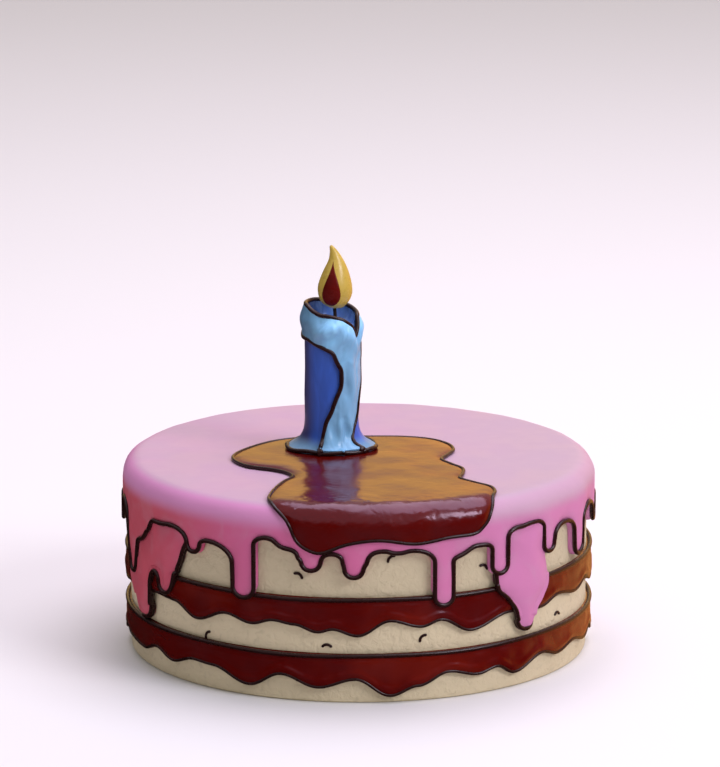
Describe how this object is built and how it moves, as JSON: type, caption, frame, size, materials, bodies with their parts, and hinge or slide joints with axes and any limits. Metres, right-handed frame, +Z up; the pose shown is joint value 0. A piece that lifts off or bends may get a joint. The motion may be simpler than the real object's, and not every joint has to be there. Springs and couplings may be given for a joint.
{
  "type": "layer cake",
  "caption": "Round layer cake styled like a drawing: dark piped outlines, oozing chocolate bands, pink icing runs, a chocolate puddle and a moulded candle.",
  "frame": {"origin": "centre of the cake's round base, on the surface it stands on", "axes": "+Z up; the front, where the puddle spills over the edge, faces -Y; +X is to the right as seen from the front"},
  "size_m": [0.2076, 0.2096, 0.1766],
  "materials": {
    "sponge": "matt cream covering with a fine leathery grain",
    "chocolate": "glossy dark red-brown",
    "pink_icing": "satin pink",
    "blue_candle": "satin blue",
    "light_wax": "satin light blue",
    "flame_yellow": "satin yellow",
    "flame_red": "matt dark red",
    "wick": "matt dark brown",
    "outline": "glossy dark brown piped line"
  },
  "bodies": {
    "root": {"sponge_bottom": "sponge", "filling_lower": "chocolate", "sponge_middle": "sponge", "filling_upper": "chocolate", "sponge_top": "sponge", "pink_icing": "pink_icing", "chocolate_puddle": "chocolate", "candle_body": "blue_candle", "wax_coat": "light_wax", "wick": "wick", "flame": "flame_yellow", "flame_core": "flame_red"}
  },
  "joints": []
}
